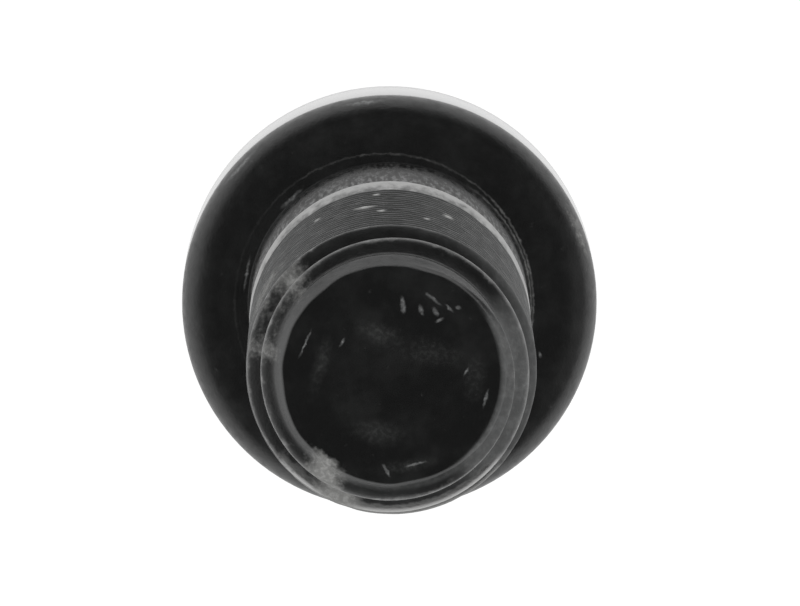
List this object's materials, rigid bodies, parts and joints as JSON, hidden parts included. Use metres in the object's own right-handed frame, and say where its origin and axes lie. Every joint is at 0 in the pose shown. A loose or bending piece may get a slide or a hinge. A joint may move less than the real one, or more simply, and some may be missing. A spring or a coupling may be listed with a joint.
{
  "type": "socket head cap screw",
  "caption": "Black oxide socket head cap screw with a smooth cylindrical head, hexagon socket, plain body and right-hand coarse metric thread.",
  "frame": {"origin": "centre of the bearing face under the head", "axes": "+Z along the shank's axis towards the threaded point; the head lies below the origin, so the screw stands on its head; a corner of the hexagon socket is on +X"},
  "size_m": [0.018, 0.018, 0.072],
  "materials": {
    "black_oxide_steel": "black oxide over rolled and forged alloy steel, satin, rubbed lighter on the edges and crests"
  },
  "bodies": {
    "root": {"socket_head_cap_screw": "black_oxide_steel"}
  },
  "joints": []
}
